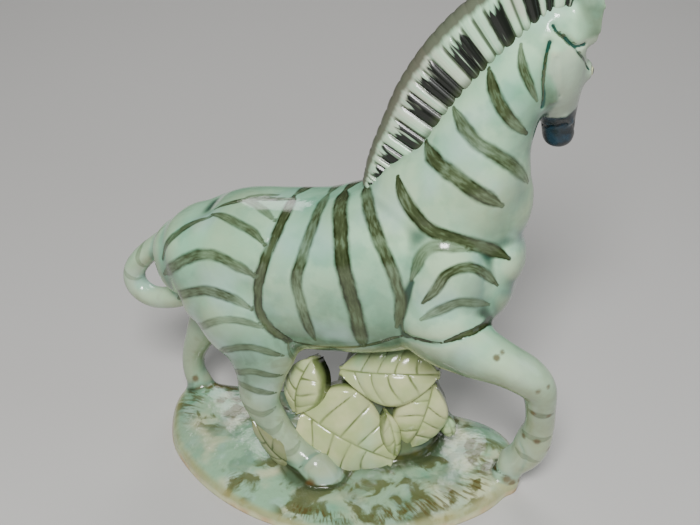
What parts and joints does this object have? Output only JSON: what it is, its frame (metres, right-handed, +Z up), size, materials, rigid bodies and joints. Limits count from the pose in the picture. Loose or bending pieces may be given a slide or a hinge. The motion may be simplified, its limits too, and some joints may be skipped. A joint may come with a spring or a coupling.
{
  "type": "zebra figurine",
  "caption": "Glazed pottery zebra figurine striding on a mounded base, its head turned aside and its belly carried on a clump of leaves.",
  "frame": {"origin": "centre of the base's flat underside", "axes": "+X the way the zebra strides, +Y to its left side, +Z up"},
  "size_m": [0.2347, 0.112, 0.2711],
  "materials": {
    "glaze": "glossy fired glaze"
  },
  "bodies": {
    "root": {"zebra_figurine": "glaze"}
  },
  "joints": []
}
